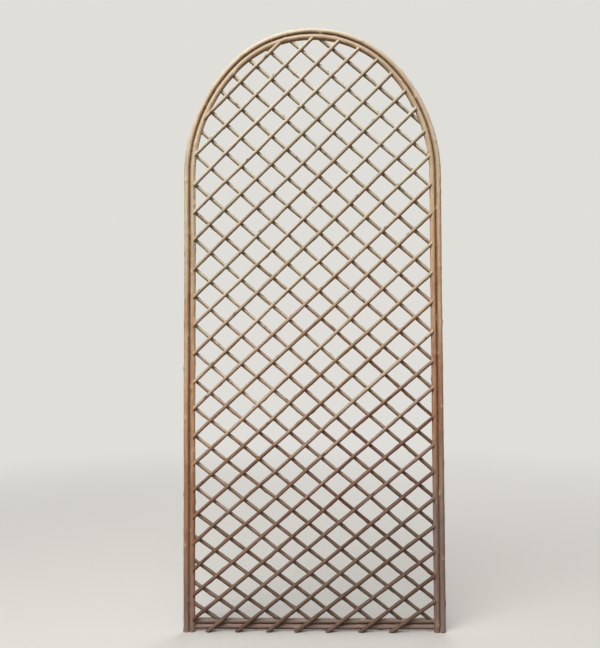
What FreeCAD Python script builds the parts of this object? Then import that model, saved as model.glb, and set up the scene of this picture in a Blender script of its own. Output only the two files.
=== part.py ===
import FreeCAD, Part
import math
import os

from FreeCAD import Vector

# Arched garden trellis of nailed willow rods. X runs across the panel, -Y is its front,
# +Z is up and the ground is at Z = 0. Lengths are in millimetres, angles in degrees.

# Outline of the panel, over the outside of the outer hoop
panel_height = 1800.0
panel_width = 770.0
arch_rise = 446.0
haunch_angle = 45.0    # turn of each side arc, before the crown arc takes over

# Thickness of the rods, and the room left between two that touch
hoop_rod_diameter = 17.0
lattice_rod_diameter = 11.0
rail_rod_diameter = 16.0
rod_clearance = 0.2

# Rising rods lean up to the right, in front of the falling ones. Heights are on the panel's
# centre line. Going up, each pitch is wider than the one below by the growth, which eases off,
# and each rod is steeper than the one below in the same way.
rising_middle_height = 902.0
rising_pitch = 84.8
rising_pitch_growth = 0.70
rising_pitch_easing = 0.125
rising_lean = 42.95
rising_lean_growth = 0.34
rising_lean_easing = 0.030

# Falling rods lean up to the left
falling_middle_height = 855.0
falling_pitch = 83.7
falling_pitch_growth = 0.90
falling_pitch_easing = 0.169
falling_lean = 40.7
falling_lean_growth = 0.236
falling_lean_easing = 0.046

# Ends of the rods between the hoops, hollowed to fit round the inner one
saddle_overlap = 5.5         # how far they reach over its inner side
lattice_foot_height = 3.0    # where the rising rods are sawn off near the ground
least_sight_length = 20.0    # a rod that shows less than this inside the hoops isn't fitted

# Rails across the foot
lower_rail_height = 12.5

# Round wire nails
nail_diameter = 2.2
nail_head_diameter = 5.0
nail_head_thickness = 1.0
nail_tip_length = 3.0
nail_hole_clearance = 0.05
nail_cover = 3.0             # wood left in front of a nail's point
nail_spacing = 6.0           # two nails are never closer than this
frame_nail_depth = 4.0       # from the inner hoop to where a frame nail meets a rod's middle
frame_nail_bite = 15.0       # the most that it goes on from there
hoop_nail_spacing = 300.0

# Layers, from the front to the back
hoop_radius = hoop_rod_diameter / 2
lattice_radius = lattice_rod_diameter / 2
rail_radius = rail_rod_diameter / 2
wood_depth = lattice_rod_diameter + rod_clearance + rail_rod_diameter
front_y = -(wood_depth + nail_head_thickness) / 2
back_y = front_y + wood_depth
rising_y = front_y + lattice_radius
falling_y = rising_y + lattice_rod_diameter + rod_clearance
hoop_y = (rising_y + falling_y) / 2
rail_y = back_y - rail_radius

# Rails and the level at which the falling rods are sawn to sit on them
upper_rail_height = lower_rail_height + rail_rod_diameter + rod_clearance
rail_top = upper_rail_height + rail_radius
rail_seat = rail_top + rod_clearance

# Three-centred arch of the outer hoop's centre line; parallel hoops share its centres
half_span = panel_width / 2 - hoop_radius
spring_height = panel_height - arch_rise
crown_rise = arch_rise - hoop_radius
haunch_turn = math.radians(haunch_angle)
centre_shift = (crown_rise - half_span) / (math.sin(haunch_turn) + math.cos(haunch_turn) - 1)
haunch_radius = half_span + centre_shift * math.cos(haunch_turn)
haunch_centre = half_span - haunch_radius
crown_radius = half_span - centre_shift * (1 - math.cos(haunch_turn))
crown_centre = spring_height + centre_shift * math.sin(haunch_turn)

# Insets from the outer hoop's centre line: the inner hoop, the edge of what shows inside it,
# and the ends of the rods that meet it
inner_hoop_inset = hoop_rod_diameter + rod_clearance
sight_inset = inner_hoop_inset + hoop_radius
saddle_inset = sight_inset - saddle_overlap


def line_edge(start, end):
    return Part.LineSegment(start, end).toShape()


def arc_edge(start, middle, end):
    return Part.Arc(start, middle, end).toShape()


def hoop_edges(inset, y, foot=0.0):
    """Line, three arcs and line of a hoop this far inside the outer one, from foot to foot."""
    span = half_span - inset
    haunch = haunch_radius - inset
    crown = crown_radius - inset

    def haunch_point(side, turn):
        across = haunch_centre + haunch * math.cos(turn)
        return Vector(side * across, y, spring_height + haunch * math.sin(turn))

    top = Vector(0, y, crown_centre + crown)
    left = [haunch_point(-1, haunch_turn * share) for share in (0, 0.5, 1)]
    right = [haunch_point(1, haunch_turn * share) for share in (1, 0.5, 0)]
    return [
        line_edge(Vector(-span, y, foot), left[0]),
        arc_edge(*left),
        arc_edge(left[-1], top, right[0]),
        arc_edge(*right),
        line_edge(right[-1], Vector(span, y, foot)),
    ]


def hoop_face(inset, y, foot):
    """Flat region inside a hoop line, closed by a level line at its foot."""
    edges = hoop_edges(inset, y, foot)
    edges.append(line_edge(edges[-1].Vertexes[-1].Point, edges[0].Vertexes[0].Point))
    return Part.Face(Part.Wire(edges))


def inside_hoops(foot):
    """Room for the rods that meet the inner hoop, through the panel and down to a level foot."""
    face = hoop_face(saddle_inset, front_y - rod_clearance, foot)
    return face.extrude(Vector(0, wood_depth + 2 * rod_clearance, 0))


def inset_and_inwards(place):
    """How far a place lies inside the outer hoop's centre line, and the way further inwards."""
    side = math.copysign(1, place.x)
    if place.z <= spring_height:
        return half_span - abs(place.x), Vector(-side, 0, 0)
    radius = haunch_radius
    away = place - Vector(side * haunch_centre, place.y, spring_height)
    if math.atan2(away.z, side * away.x) > haunch_turn:
        radius = crown_radius
        away = place - Vector(0, place.y, crown_centre)
    return radius - away.Length, away * (-1 / away.Length)


def rod(start, end, radius):
    """Straight round rod with square ends. The seam of its surface is turned half way between
    the sides that nails go through."""
    solid = Part.makeCylinder(radius, (end - start).Length, start, end - start)
    solid.rotate(start, end - start, 45)
    return solid


def hoop(inset, radius):
    """Bent round rod with sawn feet on the ground. The seam of its surface is at the back, where
    no nails go through."""
    edges = hoop_edges(inset, hoop_y)
    foot = edges[0].Vertexes[0].Point
    up = Vector(0, 0, 1)
    section = Part.Circle(foot, up, radius).toShape()
    section.rotate(foot, up, 90)
    return Part.Wire(edges).makePipeShell([Part.Wire(section)], True, False)


def eased(middle, step_size, growth, easing, step):
    """Value this many rods above the middle one, when each step grows a little less."""
    return middle + step_size * step + growth * step ** 2 / 2 - easing * step ** 3 / 6


def rod_axes(side, y, foot, heights, leans):
    """Axes of one family of lattice rods, lowest first: slope, height on the centre line, two
    ends past the inner hoop and the foot, where they meet the hoop's inner side, and the two
    ends of what shows inside the hoops."""
    reach = hoop_face(0, y, foot - 2 * lattice_rod_diameter)
    room = hoop_face(sight_inset, y, foot)
    sight = hoop_face(sight_inset, y, rail_top)
    pitch = heights[1]
    axes = []
    most_steps = math.ceil(panel_height / pitch)
    for step in range(-most_steps, most_steps + 1):
        height = eased(*heights, step)
        slope = side * math.tan(math.radians(eased(*leans, step)))

        def on_axis(x):
            return Vector(x, y, height + slope * x)

        whole = line_edge(on_axis(-panel_width), on_axis(panel_width))
        shown = whole.common(sight)
        if shown.Length < least_sight_length:
            continue
        ends = whole.common(reach).BoundBox
        meets = whole.common(room).BoundBox
        seen = shown.BoundBox
        seats = [on_axis(x) for x in (meets.XMin, meets.XMax)]
        axes.append({
            "slope": slope,
            "height": height,
            "start": on_axis(ends.XMin),
            "end": on_axis(ends.XMax),
            "seats": [seat for seat in seats if seat.z > foot + lattice_radius],
            "seen_from": seen.XMin,
            "seen_to": seen.XMax,
        })
    return axes


def crossing(axis, other):
    """Place on the centre line's X where two lattice rods cross."""
    return (other["height"] - axis["height"]) / (axis["slope"] - other["slope"])


def height_at(axis, x):
    return axis["height"] + axis["slope"] * x


def across(place, head_y, point_y):
    """A nail driven straight through the panel, as the places of its head and its point."""
    return (Vector(place.x, head_y, place.z), Vector(place.x, point_y, place.z))


def seat_nail(seat, along, radius):
    """Nail square through the inner hoop into the end of a rod that runs along from its seat. Its
    head lies in the groove between the two hoops."""
    lean = along.dot(inset_and_inwards(seat)[1])
    middle = seat + along * (frame_nail_depth / lean)
    inset, inwards = inset_and_inwards(middle)
    lean = min(along.dot(inwards), 0.99)
    room = radius / math.sqrt(1 - lean ** 2) - nail_cover
    beside_hoop = math.sqrt(hoop_radius ** 2 - (seat.y - hoop_y) ** 2)
    head = middle - inwards * (inset - inner_hoop_inset + beside_hoop)
    return head, middle + inwards * min(room, frame_nail_bite)


def apart(place, nail):
    """Distance of a place in the panel's plane from a nail that lies in it."""
    head = Vector(nail[0].x, 0, nail[0].z)
    along = Vector(nail[1].x, 0, nail[1].z) - head
    share = (place - head).dot(along) / along.Length ** 2
    return (place - head - along * min(max(share, 0), 1)).Length


def nail_solid(head, point):
    """Wire nail with a flat head, whose underside lies at its head's place."""
    length = (point - head).Length
    shank = nail_diameter / 2
    rim = nail_head_diameter / 2
    outline = [
        Vector(0, 0, -nail_head_thickness),
        Vector(rim, 0, -nail_head_thickness),
        Vector(rim, 0, 0),
        Vector(shank, 0, 0),
        Vector(shank, 0, length - nail_tip_length),
        Vector(0, 0, length),
    ]
    face = Part.Face(Part.makePolygon([*outline, outline[0]]))
    solid = face.revolve(Vector(0, 0, 0), Vector(0, 0, 1), 360)
    solid.Placement = FreeCAD.Placement(head, FreeCAD.Rotation(Vector(0, 0, 1), point - head))
    return solid


def nail_hole(head, point):
    radius = nail_diameter / 2 + nail_hole_clearance
    return Part.makeCylinder(radius, (point - head).Length + nail_hole_clearance, head, point - head)


def sunk_hole(head, point):
    """Hole of a nail whose head is driven into the wood."""
    radius = nail_head_diameter / 2 + nail_hole_clearance
    sink = Part.makeCylinder(radius, nail_head_diameter, head, head - point)
    return nail_hole(head, point).fuse(sink)


def drilled(solid, holes):
    return solid.cut(holes) if holes else solid


def beside(start, end, radius, nail):
    """Whether a nail through the panel meets a straight rod."""
    head, point = nail
    along = (end - start).normalize()
    away = Vector(head.x - start.x, 0, head.z - start.z)
    place = away.dot(along)
    apart = (away - along * place).Length
    reach = nail_diameter / 2 + nail_hole_clearance
    meets = apart < radius + reach and -reach < place < (end - start).Length + reach
    return meets and point.y < start.y + radius and head.y > start.y - radius


def fitted_rod(start, end, radius, room, nails, end_nails):
    """Rod between the hoops, hollowed to fit round the inner one and drilled for its nails."""
    solid = rod(start, end, radius).common(room).cut(hoop_room)
    through = [nail for nail in nails if beside(start, end, radius, nail)]
    return drilled(solid, [nail_hole(*nail) for nail in [*through, *end_nails]]).Solids[0]


# Axes of the lattice rods; the falling ones stop on the upper rail
rising_axes = rod_axes(
    1, rising_y, lattice_foot_height,
    (rising_middle_height, rising_pitch, rising_pitch_growth, rising_pitch_easing),
    (rising_lean, rising_lean_growth, -rising_lean_easing, 0))
falling_axes = rod_axes(
    -1, falling_y, rail_seat,
    (falling_middle_height, falling_pitch, falling_pitch_growth, falling_pitch_easing),
    (falling_lean, falling_lean_growth, -falling_lean_easing, 0))

# Nails through the inner hoop into the ends of the lattice rods
frame_nails = []
for axis in [*rising_axes, *falling_axes]:
    axis["nails"] = []
    for seat in axis["seats"]:
        far_end = max((axis["start"], axis["end"]), key=lambda end: (end - seat).Length)
        axis["nails"].append(seat_nail(seat, (far_end - seat).normalize(), lattice_radius))
    frame_nails.extend(axis["nails"])

# Nails at the crossings of the lattice, driven from the back, clear of the frame's nails
lattice_nails = []
for rising in rising_axes:
    for falling in falling_axes:
        x = crossing(rising, falling)
        place = Vector(x, 0, height_at(rising, x))
        if not falling["seen_from"] < x < falling["seen_to"]:
            continue
        if place.z < rail_top + nail_head_diameter:
            continue
        if all(apart(place, nail) > nail_spacing for nail in [*rising["nails"], *falling["nails"]]):
            head_y = falling_y + lattice_radius
            lattice_nails.append(across(place, head_y, rising_y - lattice_radius + nail_cover))

# Nails through the inner hoop into the rails, and through the rails into the rising rods
rail_nails = []
rail_end_nails = {}
rail_reach = half_span - sight_inset - frame_nail_depth - frame_nail_bite - nail_spacing
for height in (lower_rail_height, upper_rail_height):
    rail_end_nails[height] = []
    for side in (-1, 1):
        seat = Vector(side * (half_span - sight_inset), falling_y, height)
        rail_end_nails[height].append(seat_nail(seat, Vector(-side, 0, 0), rail_rod_diameter))
    for axis in rising_axes:
        x = (height - axis["height"]) / axis["slope"]
        if abs(x) < rail_reach:
            place = Vector(x, 0, height)
            rail_nails.append(across(place, back_y, rising_y - lattice_radius + nail_cover))

# Nails through the outer hoop into the inner one, with their heads driven flush
hoop_nails = []
for edge in hoop_edges(0, hoop_y):
    count = max(1, round(edge.Length / hoop_nail_spacing))
    for number in range(count):
        share = (number + 0.5) / count
        outside = edge.valueAt(edge.FirstParameter + share * (edge.LastParameter - edge.FirstParameter))
        inwards = inset_and_inwards(outside)[1]
        head = outside - inwards * (hoop_radius - nail_head_thickness)
        hoop_nails.append((head, outside + inwards * (sight_inset - nail_cover)))

# Room that the inner hoop needs, and the room between the hoops down to each foot
hoop_room = hoop(inner_hoop_inset, hoop_radius + rod_clearance)
room_to_ground = inside_hoops(lattice_foot_height)
room_to_rail = inside_hoops(rail_seat)

# Solids by name
end_nails = [nail for nails in rail_end_nails.values() for nail in nails]
hoop_holes = [sunk_hole(*nail) for nail in hoop_nails]
frame_holes = [sunk_hole(*nail) for nail in [*frame_nails, *end_nails]]
pieces = {
    "outer_hoop": drilled(hoop(0, hoop_radius), hoop_holes),
    "inner_hoop": drilled(hoop(inner_hoop_inset, hoop_radius), [*hoop_holes, *frame_holes]),
}
for name, height in (("upper_rail", upper_rail_height), ("lower_rail", lower_rail_height)):
    start, end = (Vector(side * half_span, rail_y, height) for side in (-1, 1))
    pieces[name] = fitted_rod(
        start, end, rail_radius, room_to_ground, rail_nails, rail_end_nails[height])
through_nails = [*lattice_nails, *rail_nails]
for family, axes, room in (
    ("rising", rising_axes, room_to_ground),
    ("falling", falling_axes, room_to_rail),
):
    for number, axis in enumerate(axes, 1):
        pieces["%s_rod_%02d" % (family, number)] = fitted_rod(
            axis["start"], axis["end"], lattice_radius, room, through_nails, axis["nails"])
for name, nails in (
    ("lattice_nails", lattice_nails),
    ("frame_nails", [*frame_nails, *hoop_nails]),
    ("rail_nails", [*rail_nails, *end_nails]),
):
    pieces[name] = Part.makeCompound([nail_solid(head, point) for head, point in nails])

os.makedirs("parts", exist_ok=True)
for name, shape in pieces.items():
    shape.exportStep("parts/%s.step" % name)
    print(name, len(shape.Solids), "solids, volume", round(shape.Volume), "valid", shape.isValid())
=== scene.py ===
import math
import random
from contextlib import contextmanager

import bpy
import numpy as np
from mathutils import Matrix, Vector


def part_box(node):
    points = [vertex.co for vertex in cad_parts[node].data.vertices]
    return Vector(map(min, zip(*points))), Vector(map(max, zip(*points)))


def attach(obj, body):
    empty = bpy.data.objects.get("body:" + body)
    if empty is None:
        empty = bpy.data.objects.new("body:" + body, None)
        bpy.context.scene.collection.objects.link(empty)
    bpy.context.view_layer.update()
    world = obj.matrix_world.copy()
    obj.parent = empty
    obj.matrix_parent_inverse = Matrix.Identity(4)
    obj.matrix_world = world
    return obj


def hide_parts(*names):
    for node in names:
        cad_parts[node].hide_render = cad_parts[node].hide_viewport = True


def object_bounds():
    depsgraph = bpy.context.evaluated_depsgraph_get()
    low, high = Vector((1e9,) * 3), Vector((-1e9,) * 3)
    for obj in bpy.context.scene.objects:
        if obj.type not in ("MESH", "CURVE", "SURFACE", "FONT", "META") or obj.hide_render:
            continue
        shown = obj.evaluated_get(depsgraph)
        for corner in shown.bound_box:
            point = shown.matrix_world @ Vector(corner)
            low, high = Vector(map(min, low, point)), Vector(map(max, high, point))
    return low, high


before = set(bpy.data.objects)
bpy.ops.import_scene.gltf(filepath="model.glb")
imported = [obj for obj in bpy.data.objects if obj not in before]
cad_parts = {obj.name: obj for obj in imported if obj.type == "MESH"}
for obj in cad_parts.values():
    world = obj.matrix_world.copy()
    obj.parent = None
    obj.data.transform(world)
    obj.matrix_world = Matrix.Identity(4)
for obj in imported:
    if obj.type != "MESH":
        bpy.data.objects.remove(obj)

bl_info = {
    "name": "Willow Trellis",
    "version": (1, 0, 0),
    "blender": (4, 5, 0),
    "location": "3D View > Sidebar > Trellis",
    "description": "Grows natural willow rods over the straight rods of an arched trellis",
    "category": "Object",
}

# Lengths are in metres. X runs across the panel, -Y is its front and Z is up.
CAD_LOW, CAD_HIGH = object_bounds()
BODY = "root"
# Each hoop's side that faces the other hoop, where the bark paints shade in the groove (1 inwards, -1
# outwards), its shade and its warmth
HOOPS = {"outer_hoop": (1, 0.25, 0.2), "inner_hoop": (-1, 0.15, 0.0)}
RAILS = ("upper_rail", "lower_rail")
NAILS = ("lattice_nails", "frame_nails", "rail_nails")
RISING_RODS = sorted(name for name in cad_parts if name.startswith("rising_rod"))
FALLING_RODS = sorted(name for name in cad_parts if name.startswith("falling_rod"))

# Fineness of the meshes
RING_GAP = 0.004
LATTICE_SIDES = 14
FRAME_SIDES = 20
ARC_STEP = math.radians(1.5)
CREASE = math.radians(38)
SAW_PRECISION = 1e-6

# Growth of a willow rod: buds sit in turn round it, two turns to every five buds
BUD_TURN = math.radians(144)
BUD_LENGTH = 0.0075
BUD_WIDTH = 0.55         # in radians round the rod
LEAST_BUD = 0.01         # a smaller share of a bud leaves the rod as it is
UNEVEN = (0.65, 1.35)    # least and most share of a bud's gap or height
LUMP_GRAIN = 0.028       # sizes of soft lumps, of sideways bends and of bends in depth
SIDE_BOW_GRAIN = 0.30
DEPTH_BOW_GRAIN = 0.21

# Stock rods, and the bench on which rods take their lumps and bends
BENCH_GAP = 3.7          # distance between rods on the bench
LATTICE_STOCKS = 4
SPARE_LENGTH = 0.45      # how much longer a stock rod is than the longest rod cut from it
SLIDES = (0.1, 0.9)      # least and most share of the spare length that comes off at a rod's start
HOOP_BENCH = 1           # both hoops take their bends at one place, so that they stay side by side
HOOP_SWELL = 1.03        # nailed hoops press on each other and leave no gap

# Bark
BARK_SHIFT = 5.3         # each rod shows another stretch of the bark's pattern
BARK_HEIGHTS = (0.08, 0.27, 0.46, 0.75)  # shares of the height at which the four colours of bark lie
SHADE_LEAN = 0.45         # how much higher the dark foot colours climb for each metre to the right: painted shade on the right side
PALE_SCAR = 0.35         # how far a scar covers the bark
DARK_SCAR = 0.70
FRAME_PATCHES = 0.35     # how far unbleached patches darken the bark
LATTICE_PATCHES = 0.85
RISING_LEAN = (-0.2, -0.4)  # shade and warmth of a rising rod: darker and redder than a falling one
FALLING_LEAN = (0.5, 0.1)
HUE_TURN = 0.014         # how far a rod's warmth turns its hue, and its shade fades and lightens it
TONE_FADE = -0.12
TONE_LIGHT = 0.18

# Cells of the patterns of bark and sawn wood, per radius round a rod and per metre along it
PATCH_CELLS = (0.7, 7.0)
FIBRE_CELLS = (7.0, 22.0)
PORE_CELLS = (3.4, 120.0)
RING_CELLS = (2.0, 30.0)
DIRT_CELLS = (5.0, 60.0)
SAW_MARK_CELLS = (12.0, 200.0)
RING_WAVE = 0.16         # how far year rings wander, in radii
RING_WIDTH = 0.16        # from early wood to late wood, in radii

# Light and floor
SKYLINE = 0.3            # share of the sky's strength that comes in level
KEY_PLACE = (-1.0, -2.2, 3.4)
KEY_SIZE = 2.8
BACK_PLACE = (0.8, 2.6, 3.0)
BACK_SIZE = 2.6
FLOOR_RADIUS = 60
FLOOR_SIDES = 96
FLOOR_FADE = (0.7, 4.0)  # distances between which the floor fades into the backdrop

# Photograph's height and the focal length assumed for it, in pixels, and the sensor in millimetres
PHOTO_HEIGHT = 648
FOCAL_PIXELS = 690
SENSOR = 36.0


def paint(red, green, blue):
    """Linear colour of an 8-bit screen colour."""
    def linear(level):
        share = level / 255
        return share / 12.92 if share <= 0.04045 else ((share + 0.055) / 1.055) ** 2.4
    return linear(red), linear(green), linear(blue)


def length_value(name, description, default):
    return bpy.props.FloatProperty(
        name=name, description=description, default=default, unit="LENGTH", precision=4)


def colour_value(name, description, *screen):
    return bpy.props.FloatVectorProperty(
        name=name, description=description, default=paint(*screen), subtype="COLOR", min=0, max=1)


class TrellisSizes(bpy.types.PropertyGroup):
    """How natural rods depart from straight round ones."""

    arch_rise: length_value("Arch rise", "Height of the arch above the straight legs", 0.446)
    haunch_turn: bpy.props.FloatProperty(
        name="Haunch turn", description="Turn of each side arc before the crown arc takes over",
        default=math.radians(45), subtype="ANGLE")
    lattice_bow: length_value("Lattice bow", "Sideways wander of a lattice rod", 0.0065)
    frame_bow: length_value("Frame bow", "Sideways wander of a hoop or rail", 0.0022)
    depth_bow: length_value("Depth bow", "Wander of a rod towards the front and back", 0.0012)
    lump_height: length_value("Lump height", "Height of the soft lumps along a rod", 0.0010)
    lattice_bud_gap: length_value("Lattice bud gap", "Distance between buds on a lattice rod", 0.048)
    lattice_bud_height: length_value("Lattice bud height", "How far its buds stand out", 0.0011)
    frame_bud_gap: length_value("Frame bud gap", "Distance between buds on a hoop or rail", 0.076)
    frame_bud_height: length_value("Frame bud height", "How far its buds stand out", 0.0016)
    lattice_taper: bpy.props.FloatProperty(
        name="Lattice taper", description="Share of its thickness that a rod or rail loses per metre",
        default=0.13)
    frame_taper: bpy.props.FloatProperty(
        name="Frame taper", description="Share of its thickness that a hoop loses per metre", default=0.008)
    rim: length_value("Rim", "Eased edge round a sawn end", 0.0005)
    saddle: length_value("Saddle", "Room from a rod's end to the middle of the inner hoop", 0.0030)


class TrellisColours(bpy.types.PropertyGroup):
    """Bark from the dark foot to the pale top, partly damp and bleaching and partly painted shade and light,
    with painted shade on undersides and in the groove and a painted highlight on upper sides; cut wood and
    nails.
    """

    # From foot to head the bark grows paler: partly damp and bleaching, partly painted shade low down and
    # painted light high up
    lattice_foot: colour_value("Lattice foot", "Bark of the lattice near the ground", 120, 97, 80)
    lattice_knee: colour_value(
        "Lattice knee", "Bark of the lattice at a quarter of the height", 154, 122, 98)
    lattice_waist: colour_value("Lattice waist", "Bark of the lattice at half height", 204, 176, 146)
    lattice_head: colour_value("Lattice head", "Bark of the lattice under the arch", 200, 188, 160)
    frame_foot: colour_value("Frame foot", "Bark of the hoops near the ground", 164, 138, 124)
    frame_knee: colour_value("Frame knee", "Bark of the hoops at a quarter of the height", 190, 140, 106)
    frame_waist: colour_value("Frame waist", "Bark of the hoops at half height", 218, 174, 134)
    frame_head: colour_value("Frame head", "Bark of the arch", 216, 193, 159)
    rail: colour_value("Rail", "Bark of the rails, worn pale", 166, 145, 132)
    # Painted shade: undersides of the rods darkened as if light came from above
    underside_shade: colour_value("Underside shade", "What an underside keeps of the bark's colour", 146, 115, 96)
    # Painted highlight with bleaching: upper sides paler as if lit from above
    bleached_highlight: colour_value("Bleached highlight", "Bark on a sunny upper side", 208, 200, 174)
    dull: colour_value("Dull", "What an unbleached patch keeps of the bark's colour", 210, 178, 158)
    # Painted shade in the groove between the two hoops
    groove_shade: colour_value(
        "Groove shade", "What the groove between the hoops keeps of the bark's colour", 170, 146, 122)
    bud: colour_value("Bud", "Scar of a bud", 104, 70, 52)
    trim: colour_value("Trim", "Pale cut where a side shoot was trimmed off", 214, 190, 158)
    lenticel: colour_value("Lenticel", "Pale breathing pores of the bark", 214, 190, 156)
    wood: colour_value("Wood", "Freshly sawn willow", 206, 176, 128)
    wood_ring: colour_value("Wood ring", "Late wood of a year's ring", 166, 126, 82)
    pith: colour_value("Pith", "Core of a rod", 92, 62, 40)
    steel: colour_value("Steel", "Bare wire nail", 122, 118, 112)
    rust: colour_value("Rust", "Rust on a nail", 104, 60, 36)


class TrellisStage(bpy.types.PropertyGroup):
    """Floor, light and camera."""

    floor: colour_value("Floor", "Pale floor", 214, 211, 205)
    floor_glow: colour_value("Floor glow", "Light that the floor throws back on the trellis", 120, 116, 110)
    backdrop: colour_value("Backdrop", "Pale space behind the trellis", 224, 222, 217)
    sky_strength: bpy.props.FloatProperty(
        name="Sky strength", description="Light from overhead, less from the sides", default=0.36)
    key_power: bpy.props.FloatProperty(
        name="Key power", description="Large soft lamp above the front", default=142, unit="POWER")
    back_power: bpy.props.FloatProperty(
        name="Back power", description="Large soft lamp above the back", default=50, unit="POWER")
    camera_place: bpy.props.FloatVectorProperty(
        name="Camera place", description="Where the camera stands", default=(-0.0045, -2.0609, 0.8357),
        subtype="TRANSLATION", unit="LENGTH")
    camera_turn: bpy.props.FloatVectorProperty(
        name="Camera turn", description="Tilt, roll and pan of the camera",
        default=[math.radians(turn) for turn in (91.936, 0.222, 0.947)], subtype="EULER")


def sizes():
    return bpy.context.scene.trellis_sizes


def colours():
    return bpy.context.scene.trellis_colours


# Modelling by hand, in short


def pick(piece):
    """Make one object the only selected and the active one."""
    bpy.ops.object.select_all(action="DESELECT")
    piece.select_set(True)
    bpy.context.view_layer.objects.active = piece


@contextmanager
def edited(piece):
    """Edit mode on one object, with its whole mesh selected."""
    pick(piece)
    bpy.ops.object.mode_set(mode="EDIT")
    bpy.ops.mesh.select_all(action="SELECT")
    yield
    bpy.ops.object.mode_set(mode="OBJECT")


def shape(piece, kind, **settings):
    """Add a modifier, set it and apply it."""
    pick(piece)
    modifier = piece.modifiers.new(kind, kind)
    for key, value in settings.items():
        setattr(modifier, key, value)
    bpy.ops.object.modifier_apply(modifier=modifier.name)


def settle(piece):
    """Put an object's place and turn into its mesh."""
    pick(piece)
    bpy.ops.object.transform_apply(location=True, rotation=True, scale=True)


def discard(piece):
    """Remove a helper object with its data."""
    data = piece.data
    kind = piece.type
    bpy.data.objects.remove(piece)
    (bpy.data.curves if kind == "CURVE" else bpy.data.meshes).remove(data)


def points_of(mesh):
    places = np.empty(3 * len(mesh.vertices))
    mesh.vertices.foreach_get("co", places)
    return places.reshape(-1, 3)


def mark(piece, name, values):
    """Keep one number, or three, with each point of a mesh."""
    several = values.ndim == 2
    attribute = piece.data.attributes.new(name, "FLOAT_VECTOR" if several else "FLOAT", "POINT")
    attribute.data.foreach_set("vector" if several else "value", values.ravel())


def soft_noise(name, grain):
    """Cloudy texture for bends and lumps, made once."""
    texture = bpy.data.textures.get(name)
    if texture is None:
        texture = bpy.data.textures.new(name, "CLOUDS")
        texture.noise_scale = grain
        texture.noise_depth = 0
    return texture


# Willow rods


def bud_shares(points, gap, seed):
    """Share of a bud at each point of a rod that stands up the Z axis."""
    draw = random.Random(seed)
    turns = np.arctan2(points[:, 1], points[:, 0])
    shares = np.zeros(len(points))
    place = gap * draw.random()
    turn = 0.0
    while place < points[:, 2].max():
        round_it = np.angle(np.exp(1j * (turns - turn)))
        along_it = points[:, 2] - place
        swell = draw.uniform(*UNEVEN) * np.exp(-(along_it / BUD_LENGTH) ** 2 - (round_it / BUD_WIDTH) ** 2)
        shares = np.maximum(shares, np.minimum(swell, 1))
        place += gap * draw.uniform(*UNEVEN)
        turn += BUD_TURN
    return shares


def willow_stock(name, radius, length, sides, bud_gap, bud_height, taper, seed):
    """Willow rod up the Z axis from the origin, with buds, lumps and a taper, but no bends yet."""
    bpy.ops.object.select_all(action="DESELECT")
    bpy.ops.mesh.primitive_circle_add(vertices=sides, radius=radius)
    stock = bpy.context.object
    stock.name = name
    rings = round(length / RING_GAP)
    shape(stock, "SCREW", angle=0, screw_offset=length, steps=rings, render_steps=rings)
    with edited(stock):
        bpy.ops.mesh.normals_make_consistent(inside=False)
    points = points_of(stock.data)
    mark(stock, "grain", points / (radius, radius, 1))
    shares = bud_shares(points, bud_gap, seed)
    mark(stock, "bud", shares)
    buds = stock.vertex_groups.new(name="buds")
    for point in np.flatnonzero(shares > LEAST_BUD):
        buds.add([int(point)], shares[point], "REPLACE")
    shape(stock, "DISPLACE", vertex_group="buds", strength=bud_height, mid_level=0)
    stock.vertex_groups.clear()
    stock.location.x = seed * BENCH_GAP
    shape(stock, "DISPLACE", texture=soft_noise("lumps", LUMP_GRAIN), texture_coords="GLOBAL",
          strength=sizes().lump_height, mid_level=0.5)
    stock.location = (0, 0, -length / 2)
    settle(stock)
    shape(stock, "SIMPLE_DEFORM", deform_method="TAPER", deform_axis="Z", factor=-taper)
    stock.location.z = length / 2
    settle(stock)
    return stock


def take_bends(rod, bench_place, bow):
    """Let a straight rod wander sideways, and a little towards the front and back."""
    rod.location.x = bench_place * BENCH_GAP
    shape(rod, "DISPLACE", texture=soft_noise("side_bow", SIDE_BOW_GRAIN), texture_coords="GLOBAL",
          direction="X", strength=bow, mid_level=0.5)
    shape(rod, "DISPLACE", texture=soft_noise("depth_bow", DEPTH_BOW_GRAIN), texture_coords="GLOBAL",
          direction="Y", strength=sizes().depth_bow, mid_level=0.5)
    rod.location.x = 0


def saw(piece, place, outward):
    """Saw off what lies outward of a place, if anything does, close the cut with an eased rim and
    show its wood."""
    rim = sizes().rim
    if ((points_of(piece.data) - place) @ np.array(outward)).max() < 0:
        return
    with edited(piece):
        bpy.ops.mesh.bisect(
            plane_co=place - outward * rim, plane_no=outward, use_fill=True, clear_outer=True)
        bpy.ops.mesh.inset(thickness=rim, depth=rim)
        piece.active_material_index = 1
        bpy.ops.object.material_slot_assign()


def bark_and_wood(piece, finish):
    """First slot bark, second slot sawn wood."""
    piece.data.materials.clear()
    piece.data.materials.append(finish)
    piece.data.materials.append(sawn_wood())


def own_bark(rod, number, tone, warmth):
    """Give a rod its own stretch of the bark's pattern, its own shade and its own warmth."""
    grain = rod.data.attributes["grain"].data
    values = np.empty(3 * len(grain))
    grain.foreach_get("vector", values)
    values[2::3] += number * BARK_SHIFT
    grain.foreach_set("vector", values)
    mark(rod, "tone", np.full(len(grain), tone))
    mark(rod, "warmth", np.full(len(grain), warmth))


def finish_rod(piece, node):
    """Smooth a rod and let it stand for its solid."""
    pick(piece)
    bpy.ops.object.shade_smooth_by_angle(angle=CREASE)
    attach(piece, BODY)
    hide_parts(node)


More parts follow.
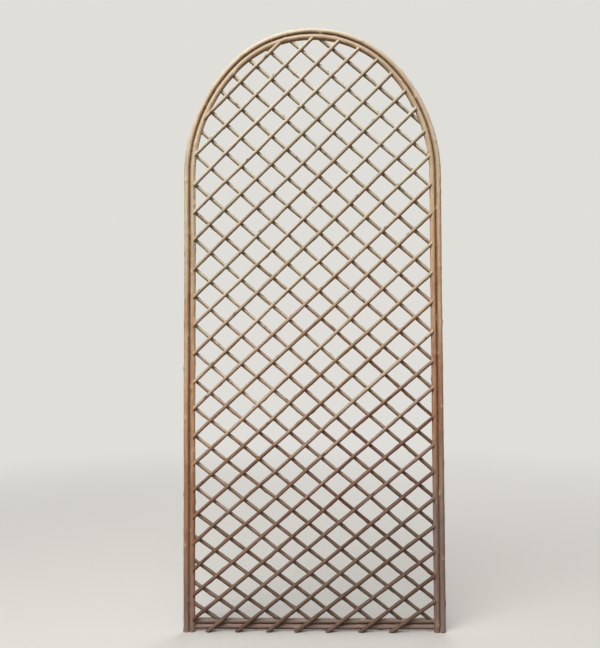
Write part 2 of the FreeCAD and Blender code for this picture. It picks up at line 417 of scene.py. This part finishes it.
def rod_line(node):
    """Start, end and radius of a straight solid, read from its mesh. Its end is the upper one."""
    low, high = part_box(node)
    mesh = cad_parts[node].data
    flat = points_of(mesh)[:, (0, 2)]
    edges = np.empty(2 * len(mesh.edges), dtype=int)
    mesh.edges.foreach_get("vertices", edges)
    runs = flat[edges[1::2]] - flat[edges[::2]]
    along = runs[np.argmax(np.linalg.norm(runs, axis=1))]
    along = along / np.linalg.norm(along) * (1 if along[1] > 0 else -1)
    aside = np.array((along[1], -along[0]))
    reach, offset = flat @ along, flat @ aside
    middle = aside * (offset.min() + offset.max()) / 2
    ends = [middle + along * reach.min(), middle + along * reach.max()]
    depth = (low.y + high.y) / 2
    start, end = (Vector((x, depth, z)) for x, z in ends)
    return start, end, (high.y - low.y) / 2


def lay_rod(rod, start, end, slide):
    """Lay a rod that stands up the Z axis along a line, with its stretch from slide upwards on it."""
    direction = (end - start).normalized()
    rod.rotation_mode = "QUATERNION"
    rod.rotation_quaternion = Vector((0, 0, 1)).rotation_difference(direction)
    rod.location = start - direction * slide
    settle(rod)
    rod.rotation_mode = "XYZ"


class HoopLine:
    """Centre line of a bent hoop: leg, side arc, crown arc, side arc and leg."""

    def __init__(self, node):
        low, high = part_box(node)
        self.name = node + "_line"
        self.radius = (high.y - low.y) / 2
        self.depth = (high.y + low.y) / 2
        self.foot = low.z
        self.half_span = high.x - self.radius
        self.spring = CAD_HIGH.z - sizes().arch_rise
        self.turn = sizes().haunch_turn
        rise = high.z - self.radius - self.spring
        shift = (rise - self.half_span) / (math.sin(self.turn) + math.cos(self.turn) - 1)
        self.haunch = self.half_span + shift * math.cos(self.turn)
        self.crown = self.half_span - shift * (1 - math.cos(self.turn))
        self.crown_centre = self.spring + shift * math.sin(self.turn)

    def inset(self, place):
        """How far a place lies inside the line, and the way outwards from it."""
        side = math.copysign(1, place.x)
        if place.z <= self.spring:
            return self.half_span - abs(place.x), Vector((side, 0, 0))
        radius = self.haunch
        away = Vector((place.x - side * (self.half_span - self.haunch), 0, place.z - self.spring))
        if math.atan2(away.z, side * away.x) > self.turn:
            radius = self.crown
            away = Vector((place.x, 0, place.z - self.crown_centre))
        return radius - away.length, away.normalized()

    def places(self):
        side = [(self.half_span, self.foot - self.radius)]
        for step in np.linspace(0, self.turn, round(self.turn / ARC_STEP)):
            across = self.half_span - self.haunch + self.haunch * math.cos(step)
            side.append((across, self.spring + self.haunch * math.sin(step)))
        for step in np.linspace(self.turn, math.pi / 2, round((math.pi / 2 - self.turn) / ARC_STEP))[1:]:
            side.append((self.crown * math.cos(step), self.crown_centre + self.crown * math.sin(step)))
        left = [Vector((-x, self.depth, z)) for x, z in side]
        return left + [Vector((x, self.depth, z)) for x, z in side[-2::-1]]

    def curve(self):
        """The line as a curve object, and its length."""
        places = self.places()
        curve = bpy.data.curves.new(self.name, "CURVE")
        curve.dimensions = "3D"
        curve.twist_mode = "MINIMUM"
        spline = curve.splines.new("POLY")
        spline.points.add(len(places) - 1)
        for point, place in zip(spline.points, places):
            point.co = (*place, 1)
        line = bpy.data.objects.new(self.name, curve)
        bpy.context.scene.collection.objects.link(line)
        return line, sum((b - a).length for a, b in zip(places, places[1:]))


def lattice_stocks():
    """Stock rods, long enough for any lattice rod."""
    longest = max((end - start).length for start, end, _ in map(rod_line, RISING_RODS + FALLING_RODS))
    radius = rod_line(RISING_RODS[0])[2]
    return [
        willow_stock(
            f"lattice_stock_{number}", radius, longest + SPARE_LENGTH, LATTICE_SIDES,
            sizes().lattice_bud_gap, sizes().lattice_bud_height, sizes().lattice_taper, number)
        for number in range(LATTICE_STOCKS)
    ]


def saw_at_hoop(rod, inside, towards, hoop):
    """Saw a rod that lies along a line where it meets the inner hoop's round side."""
    near, far = 0.0, 2 * CAD_HIGH.z
    while far - near > SAW_PRECISION:
        place = inside + towards * (near + far) / 2
        if hoop.inset(place)[0] > sizes().saddle:
            near = (near + far) / 2
        else:
            far = (near + far) / 2
    saw(rod, place, hoop.inset(place)[1])


def lattice_rods(nodes, first_number, lean):
    """Cut a family of lattice rods from the stock rods and lay each where its solid is."""
    stocks = lattice_stocks()
    hoop = HoopLine("inner_hoop")
    for number, node in enumerate(nodes, first_number):
        draw = random.Random(number)
        start, end, _ = rod_line(node)
        pick(stocks[draw.randrange(LATTICE_STOCKS)])
        bpy.ops.object.duplicate()
        rod = bpy.context.object
        rod.name = node + "_bark"
        bark_and_wood(rod, lattice_bark())
        own_bark(rod, number, lean[0] + draw.uniform(-1, 1), lean[1] + draw.uniform(-1, 1))
        rod.rotation_euler.z = draw.uniform(0, math.tau)
        settle(rod)
        take_bends(rod, number, sizes().lattice_bow)
        slide = draw.uniform(*SLIDES) * SPARE_LENGTH
        if draw.random() < 0.5:
            lay_rod(rod, start, end, slide)
        else:
            lay_rod(rod, end, start, slide)
        middle = (start + end) / 2
        upward = (end - start).normalized()
        saw_at_hoop(rod, middle, upward, hoop)
        saw_at_hoop(rod, middle, -upward, hoop)
        saw(rod, Vector((0, 0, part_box(node)[0].z)), Vector((0, 0, -1)))
        finish_rod(rod, node)
    for stock in stocks:
        discard(stock)


def bent_hoop(node, number):
    """Bend a long willow rod round a hoop's line and saw its feet level."""
    facing, tone, warmth = HOOPS[node]
    hoop = HoopLine(node)
    line, length = hoop.curve()
    rod = willow_stock(
        node + "_bark", hoop.radius * HOOP_SWELL, length, FRAME_SIDES,
        sizes().frame_bud_gap, sizes().frame_bud_height, sizes().frame_taper, number)
    bark_and_wood(rod, hoop_bark())
    own_bark(rod, number, tone, warmth)
    take_bends(rod, HOOP_BENCH, sizes().frame_bow)
    shape(rod, "CURVE", object=line, deform_axis="POS_Z")
    discard(line)
    inwards = np.array([hoop.inset(Vector(place))[0] for place in points_of(rod.data)])
    # How far each point faces the other hoop; the bark paints shade there
    mark(rod, "groove", facing * inwards / hoop.radius)
    saw(rod, Vector((0, 0, CAD_LOW.z)), Vector((0, 0, -1)))
    finish_rod(rod, node)


def level_rail(node, number):
    """Lay a willow rod across the foot, with sawn ends."""
    low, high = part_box(node)
    radius = (high.z - low.z) / 2
    depth = low.y + radius
    start, end = (Vector((x, depth, low.z + radius)) for x in (low.x, high.x))
    rail = willow_stock(
        node + "_bark", radius, (end - start).length + SPARE_LENGTH, FRAME_SIDES,
        sizes().frame_bud_gap, sizes().frame_bud_height, sizes().lattice_taper, number)
    bark_and_wood(rail, rail_bark())
    draw = random.Random(number)
    own_bark(rail, number, draw.uniform(-1, 1), draw.uniform(-1, 1))
    take_bends(rail, number, sizes().frame_bow)
    lay_rod(rail, start, end, SPARE_LENGTH / 2)
    outward = Vector((1, 0, 0))
    saw(rail, end, outward)
    saw(rail, start, -outward)
    finish_rod(rail, node)


# Finishes


def put(tree, kind, settings=None, **inputs):
    """Add a node. Inputs go by name, or by number as in _0. Sockets are linked, other values are set."""
    node = tree.nodes.new(kind)
    for key, value in (settings or {}).items():
        setattr(node, key, value)
    for key, value in inputs.items():
        socket = node.inputs[int(key[1:]) if key[0] == "_" else key]
        if isinstance(value, bpy.types.NodeSocket):
            tree.links.new(value, socket)
        else:
            socket.default_value = value
    return node


def math_node(tree, operation, first, second=0.0, third=0.0):
    return put(tree, "ShaderNodeMath", {"operation": operation}, _0=first, _1=second, _2=third).outputs[0]


def ramp(tree, share, *stops):
    """Colours or greys at places along a share."""
    node = put(tree, "ShaderNodeValToRGB", Fac=share)
    while len(node.color_ramp.elements) < len(stops):
        node.color_ramp.elements.new(1)
    for element, (place, shade) in zip(node.color_ramp.elements, stops):
        element.position = place
        element.color = (*shade, 1) if not isinstance(shade, (int, float)) else (shade, shade, shade, 1)
    return node.outputs["Color"]


def blended(tree, how, share, first, second):
    """Mix of two colours."""
    node = tree.nodes.new("ShaderNodeMix")
    node.data_type = "RGBA"
    node.blend_type = how
    named = {socket.identifier: socket for socket in node.inputs}
    for key, value in (("Factor_Float", share), ("A_Color", first), ("B_Color", second)):
        if isinstance(value, bpy.types.NodeSocket):
            tree.links.new(value, named[key])
        else:
            named[key].default_value = value if key == "Factor_Float" else (*value, 1)
    return node.outputs[2]


def kept(tree, name, output="Fac"):
    """Number or vector kept with the points of a rod."""
    return put(tree, "ShaderNodeAttribute", {"attribute_name": name}).outputs[output]


def grain_space(tree, round_it, along_it):
    """A rod's own space, with so many cells per radius round it and per metre along it."""
    return put(
        tree, "ShaderNodeVectorMath", {"operation": "MULTIPLY"},
        _0=kept(tree, "grain", "Vector"), _1=(round_it, round_it, along_it)).outputs["Vector"]


def grain_noise(tree, cells, detail):
    """Noise in a rod's own space."""
    space = grain_space(tree, *cells)
    return put(tree, "ShaderNodeTexNoise", Vector=space, Scale=1.0, Detail=detail).outputs["Fac"]


def new_finish(name):
    """Empty material, its node tree and its surface shader."""
    material = bpy.data.materials.new(name)
    material.use_nodes = True
    tree = material.node_tree
    tree.nodes.clear()
    shader = put(tree, "ShaderNodeBsdfPrincipled")
    put(tree, "ShaderNodeOutputMaterial", Surface=shader.outputs["BSDF"])
    return material, tree, shader


def bark(name, foot, knee, waist, head, patchy, scar, scar_share):
    """Willow bark: darker at the foot and paler higher up, partly damp and bleaching and partly painted
    shade and light, with painted shade on undersides, in the groove and further up on the right, a painted
    highlight on upper sides, and fibres, pores and scars.
    """
    material, tree, shader = new_finish(name)
    place = put(tree, "ShaderNodeTexCoord").outputs["Object"]
    across = put(tree, "ShaderNodeSeparateXYZ", Vector=place).outputs
    # Height leaned so that the darker foot colours climb higher on the right: painted shade
    height = math_node(tree, "MULTIPLY_ADD", across["X"], -SHADE_LEAN, across["Z"])
    patches = grain_noise(tree, PATCH_CELLS, 3.0)
    fibres = grain_noise(tree, FIBRE_CELLS, 5.0)
    wandering = math_node(tree, "MULTIPLY_ADD", patches, 0.5, -0.25)
    share = math_node(tree, "DIVIDE", math_node(tree, "ADD", height, wandering), CAD_HIGH.z)
    # Colours of bark by height: damp and bleaching, with painted shade at the foot and painted light at the
    # top
    weathered_and_shaded = ramp(tree, share, *zip(BARK_HEIGHTS, (foot, knee, waist, head)))
    unbleached = math_node(
        tree, "MULTIPLY",
        ramp(tree, patches, (0.36, patchy), (0.55, 0.0)), ramp(tree, share, (0.45, 1.0), (0.80, 0.40)))
    dull = blended(tree, "MULTIPLY", unbleached, weathered_and_shaded, colours().dull)
    streaked = blended(
        tree, "MULTIPLY", 0.75, dull, ramp(tree, fibres, (0.30, 0.55), (0.50, 0.95), (0.72, 1.12)))
    facing = put(tree, "ShaderNodeSeparateXYZ", Vector=put(tree, "ShaderNodeNewGeometry").outputs["Normal"])
    upright = math_node(tree, "MULTIPLY_ADD", facing.outputs["Z"], 0.5, 0.5)
    upper = math_node(tree, "MULTIPLY_ADD", wandering, 0.3, upright)
    # Painted shade: undersides darker, as if lit from above
    under = ramp(tree, upper, (0.15, 0.85), (0.60, 0.0))
    underside_shade = blended(tree, "MULTIPLY", under, streaked, colours().underside_shade)
    # Painted highlight with bleaching: upper sides paler higher up, as if lit from above
    bleach_and_highlight = math_node(
        tree, "MULTIPLY",
        ramp(tree, upper, (0.55, 0.0), (0.90, 0.75)), ramp(tree, share, (0.24, 0.0), (0.58, 1.0)))
    bleached_highlight = blended(tree, "MIX", bleach_and_highlight, underside_shade, colours().bleached_highlight)
    # Painted shade in the groove where the hoops meet, weaker at the foot
    groove = math_node(
        tree, "MULTIPLY",
        ramp(tree, kept(tree, "groove"), (0.15, 0.0), (0.80, 0.85)),
        ramp(tree, share, (0.15, 0.2), (0.45, 1.0)))
    groove_shaded = blended(tree, "MULTIPLY", groove, bleached_highlight, colours().groove_shade)
    cells = grain_space(tree, *PORE_CELLS)
    pores = put(tree, "ShaderNodeTexVoronoi", Vector=cells, Scale=1.0, Randomness=1.0).outputs["Distance"]
    pore = ramp(tree, pores, (0.14, 1.0), (0.22, 0.0))
    dotted = blended(tree, "MIX", math_node(tree, "MULTIPLY", pore, 0.30), groove_shaded, colours().lenticel)
    scarred = blended(
        tree, "MIX", ramp(tree, kept(tree, "bud"), (0.45, 0.0), (0.75, scar_share)), dotted, scar)
    tone = kept(tree, "tone")
    shaded = put(
        tree, "ShaderNodeHueSaturation", Color=scarred,
        Hue=math_node(tree, "MULTIPLY_ADD", kept(tree, "warmth"), HUE_TURN, 0.5),
        Saturation=math_node(tree, "MULTIPLY_ADD", tone, TONE_FADE, 1.0),
        Value=math_node(tree, "MULTIPLY_ADD", tone, TONE_LIGHT, 1.0)).outputs["Color"]
    tree.links.new(shaded, shader.inputs["Base Color"])
    rough = math_node(tree, "MULTIPLY_ADD", fibres, -0.35, 0.86)
    tree.links.new(rough, shader.inputs["Roughness"])
    relief = math_node(tree, "MULTIPLY_ADD", pore, 0.35, fibres)
    bumped = put(tree, "ShaderNodeBump", Strength=0.35, Distance=0.0008, Height=relief)
    tree.links.new(bumped.outputs["Normal"], shader.inputs["Normal"])
    return material


def hoop_bark():
    shades = colours()
    return bpy.data.materials.get("hoop_bark") or bark(
        "hoop_bark", shades.frame_foot, shades.frame_knee, shades.frame_waist, shades.frame_head,
        FRAME_PATCHES, shades.trim, PALE_SCAR)


def rail_bark():
    shades = colours()
    return bpy.data.materials.get("rail_bark") or bark(
        "rail_bark", shades.rail, shades.rail, shades.rail, shades.rail,
        FRAME_PATCHES, shades.trim, PALE_SCAR)


def lattice_bark():
    shades = colours()
    return bpy.data.materials.get("lattice_bark") or bark(
        "lattice_bark", shades.lattice_foot, shades.lattice_knee, shades.lattice_waist, shades.lattice_head,
        LATTICE_PATCHES, shades.bud, DARK_SCAR)


def sawn_wood():
    """Sawn end of a rod: year rings round a dark pith, inside a rim of bark."""
    known = bpy.data.materials.get("sawn_wood")
    if known:
        return known
    material, tree, shader = new_finish("sawn_wood")
    shades = colours()
    flat = grain_space(tree, 1.0, 0.0)
    away = put(tree, "ShaderNodeVectorMath", {"operation": "LENGTH"}, _0=flat).outputs["Value"]
    uneven = math_node(tree, "MULTIPLY_ADD", grain_noise(tree, RING_CELLS, 3.0), RING_WAVE, away)
    rings = math_node(tree, "PINGPONG", uneven, RING_WIDTH)
    grown = blended(tree, "MIX", math_node(tree, "MULTIPLY", rings, 5.0), shades.wood, shades.wood_ring)
    cored = blended(tree, "MIX", ramp(tree, away, (0.10, 1.0), (0.18, 0.0)), grown, shades.pith)
    rimmed = blended(tree, "MIX", ramp(tree, away, (0.86, 0.0), (0.92, 1.0)), cored, shades.bud)
    dirt = ramp(tree, grain_noise(tree, DIRT_CELLS, 4.0), (0.3, 0.6), (0.7, 1.0))
    aged = blended(tree, "MULTIPLY", 0.7, rimmed, dirt)
    tree.links.new(aged, shader.inputs["Base Color"])
    shader.inputs["Roughness"].default_value = 0.85
    saw_marks = grain_noise(tree, SAW_MARK_CELLS, 3.0)
    bumped = put(tree, "ShaderNodeBump", Strength=0.5, Distance=0.0004, Height=saw_marks)
    tree.links.new(bumped.outputs["Normal"], shader.inputs["Normal"])
    return material


def nail_steel():
    """Wire nails, dull and rusty in spots."""
    material, tree, shader = new_finish("nail_steel")
    place = put(tree, "ShaderNodeTexCoord").outputs["Object"]
    spots = put(tree, "ShaderNodeTexNoise", Vector=place, Scale=420.0, Detail=4.0).outputs["Fac"]
    rusty = ramp(tree, spots, (0.42, 0.0), (0.58, 1.0))
    tree.links.new(blended(tree, "MIX", rusty, colours().steel, colours().rust), shader.inputs["Base Color"])
    tree.links.new(math_node(tree, "MULTIPLY_ADD", rusty, -0.8, 0.9), shader.inputs["Metallic"])
    tree.links.new(math_node(tree, "MULTIPLY_ADD", rusty, 0.4, 0.42), shader.inputs["Roughness"])
    bumped = put(tree, "ShaderNodeBump", Strength=0.3, Distance=0.0002, Height=spots)
    tree.links.new(bumped.outputs["Normal"], shader.inputs["Normal"])
    return material


# Stage


def seen_or_mirrored(tree):
    """One for rays from the camera, a mirror or glass, and nothing for light on the trellis."""
    path = put(tree, "ShaderNodeLightPath").outputs
    clear = math_node(tree, "MAXIMUM", path["Is Glossy Ray"], path["Is Transmission Ray"])
    return math_node(tree, "MAXIMUM", path["Is Camera Ray"], clear)


def pale_floor():
    """Round floor that fades into the backdrop far from the trellis."""
    stage = bpy.context.scene.trellis_stage
    bpy.ops.object.select_all(action="DESELECT")
    bpy.ops.mesh.primitive_circle_add(
        vertices=FLOOR_SIDES, radius=FLOOR_RADIUS, fill_type="NGON", location=(0, 0, CAD_LOW.z))
    floor = bpy.context.object
    floor.name = "floor"
    material = bpy.data.materials.new("pale_floor")
    material.use_nodes = True
    tree = material.node_tree
    tree.nodes.clear()
    place = put(tree, "ShaderNodeTexCoord").outputs["Object"]
    away = put(tree, "ShaderNodeVectorMath", {"operation": "LENGTH"}, _0=place).outputs["Value"]
    fade_from, fade_to = FLOOR_FADE
    far = put(
        tree, "ShaderNodeMapRange", {"interpolation_type": "SMOOTHSTEP"},
        Value=away, **{"From Min": fade_from, "From Max": fade_to}).outputs["Result"]
    near_colour = blended(tree, "MIX", seen_or_mirrored(tree), stage.floor_glow, stage.floor)
    near_shader = put(tree, "ShaderNodeBsdfDiffuse", Color=near_colour)
    far_shader = put(tree, "ShaderNodeEmission", Color=(*stage.backdrop, 1), Strength=1.0)
    fade = math_node(tree, "MULTIPLY", far, seen_or_mirrored(tree))
    both = put(
        tree, "ShaderNodeMixShader", Fac=fade,
        _1=near_shader.outputs["BSDF"], _2=far_shader.outputs["Emission"])
    put(tree, "ShaderNodeOutputMaterial", Surface=both.outputs["Shader"])
    floor.data.materials.append(material)


def pale_sky():
    """Light from overhead, less from the sides, with the backdrop's colour where it is seen."""
    stage = bpy.context.scene.trellis_stage
    world = bpy.data.worlds.new("pale_sky")
    bpy.context.scene.world = world
    world.use_nodes = True
    tree = world.node_tree
    tree.nodes.clear()
    way = put(tree, "ShaderNodeTexCoord").outputs["Generated"]
    up = put(tree, "ShaderNodeSeparateXYZ", Vector=way).outputs["Z"]
    level = math_node(tree, "MULTIPLY_ADD", up, stage.sky_strength, SKYLINE * stage.sky_strength)
    light = put(tree, "ShaderNodeBackground", Color=(1, 1, 1, 1), Strength=level)
    seen = put(tree, "ShaderNodeBackground", Color=(*stage.backdrop, 1), Strength=1.0)
    both = put(
        tree, "ShaderNodeMixShader", Fac=seen_or_mirrored(tree),
        _1=light.outputs["Background"], _2=seen.outputs["Background"])
    put(tree, "ShaderNodeOutputWorld", Surface=both.outputs["Shader"])


def soft_lamp(name, place, aim, size, power):
    """Large square lamp that faces a point."""
    bpy.ops.object.light_add(type="AREA", location=place)
    lamp = bpy.context.object
    lamp.name = name
    lamp.data.size = size
    lamp.data.energy = power
    lamp.rotation_euler = (Vector(aim) - Vector(place)).to_track_quat("-Z", "Y").to_euler()


def photo_camera():
    """Camera at the place and turn fitted to the photograph."""
    stage = bpy.context.scene.trellis_stage
    bpy.ops.object.camera_add(location=stage.camera_place, rotation=stage.camera_turn)
    camera = bpy.context.object
    camera.name = "photo_camera"
    camera.data.sensor_width = SENSOR
    camera.data.lens = FOCAL_PIXELS * SENSOR / PHOTO_HEIGHT
    bpy.context.scene.camera = camera


# Operators, one for each group of pieces


class TRELLIS_OT_hoops(bpy.types.Operator):
    """Bend the two hoops of the frame"""

    bl_idname = "trellis.hoops"
    bl_label = "Hoops"

    def execute(self, context):
        for number, node in enumerate(HOOPS, 1):
            bent_hoop(node, number)
        return {"FINISHED"}


class TRELLIS_OT_rails(bpy.types.Operator):
    """Lay the two rails across the foot"""

    bl_idname = "trellis.rails"
    bl_label = "Rails"

    def execute(self, context):
        for number, node in enumerate(RAILS, 1 + len(HOOPS)):
            level_rail(node, number)
        return {"FINISHED"}


class TRELLIS_OT_rising_rods(bpy.types.Operator):
    """Lay the lattice rods that lean up to the right"""

    bl_idname = "trellis.rising_rods"
    bl_label = "Rising rods"

    def execute(self, context):
        lattice_rods(RISING_RODS, 1, RISING_LEAN)
        return {"FINISHED"}


class TRELLIS_OT_falling_rods(bpy.types.Operator):
    """Lay the lattice rods that lean up to the left"""

    bl_idname = "trellis.falling_rods"
    bl_label = "Falling rods"

    def execute(self, context):
        lattice_rods(FALLING_RODS, 1 + len(RISING_RODS), FALLING_LEAN)
        return {"FINISHED"}


class TRELLIS_OT_nails(bpy.types.Operator):
    """Give the nails their rusty steel"""

    bl_idname = "trellis.nails"
    bl_label = "Nails"

    def execute(self, context):
        steel = nail_steel()
        for node in NAILS:
            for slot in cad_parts[node].material_slots:
                slot.material = steel
        return {"FINISHED"}


class TRELLIS_OT_stage(bpy.types.Operator):
    """Set the floor, the light and the camera"""

    bl_idname = "trellis.stage"
    bl_label = "Stage"

    def execute(self, context):
        stage = context.scene.trellis_stage
        middle = (CAD_LOW + CAD_HIGH) / 2
        pale_floor()
        pale_sky()
        soft_lamp("key_lamp", KEY_PLACE, middle, KEY_SIZE, stage.key_power)
        soft_lamp("back_lamp", BACK_PLACE, middle, BACK_SIZE, stage.back_power)
        photo_camera()
        context.scene.view_settings.view_transform = "Standard"
        return {"FINISHED"}


class TRELLIS_PT_panel(bpy.types.Panel):
    """Sidebar panel that lists the steps and their values"""

    bl_idname = "TRELLIS_PT_panel"
    bl_label = "Willow Trellis"
    bl_space_type = "VIEW_3D"
    bl_region_type = "UI"
    bl_category = "Trellis"

    def draw(self, context):
        for step in STEPS:
            self.layout.operator(step.bl_idname)
        for group in (getattr(context.scene, name) for name in GROUPS):
            box = self.layout.box()
            for name in group.bl_rna.properties.keys():
                if name not in ("rna_type", "name"):
                    box.prop(group, name)


STEPS = (
    TRELLIS_OT_hoops, TRELLIS_OT_rails, TRELLIS_OT_rising_rods, TRELLIS_OT_falling_rods,
    TRELLIS_OT_nails, TRELLIS_OT_stage,
)
GROUPS = {
    "trellis_sizes": TrellisSizes,
    "trellis_colours": TrellisColours,
    "trellis_stage": TrellisStage,
}


def register():
    for made in (*GROUPS.values(), *STEPS, TRELLIS_PT_panel):
        bpy.utils.register_class(made)
    for name, group in GROUPS.items():
        setattr(bpy.types.Scene, name, bpy.props.PointerProperty(type=group))


def unregister():
    for name in GROUPS:
        delattr(bpy.types.Scene, name)
    for made in reversed((*GROUPS.values(), *STEPS, TRELLIS_PT_panel)):
        bpy.utils.unregister_class(made)


def main():
    register()
    bpy.ops.trellis.hoops()
    bpy.ops.trellis.rails()
    bpy.ops.trellis.rising_rods()
    bpy.ops.trellis.falling_rods()
    bpy.ops.trellis.nails()
    bpy.ops.trellis.stage()


if __name__ == "__main__":
    main()
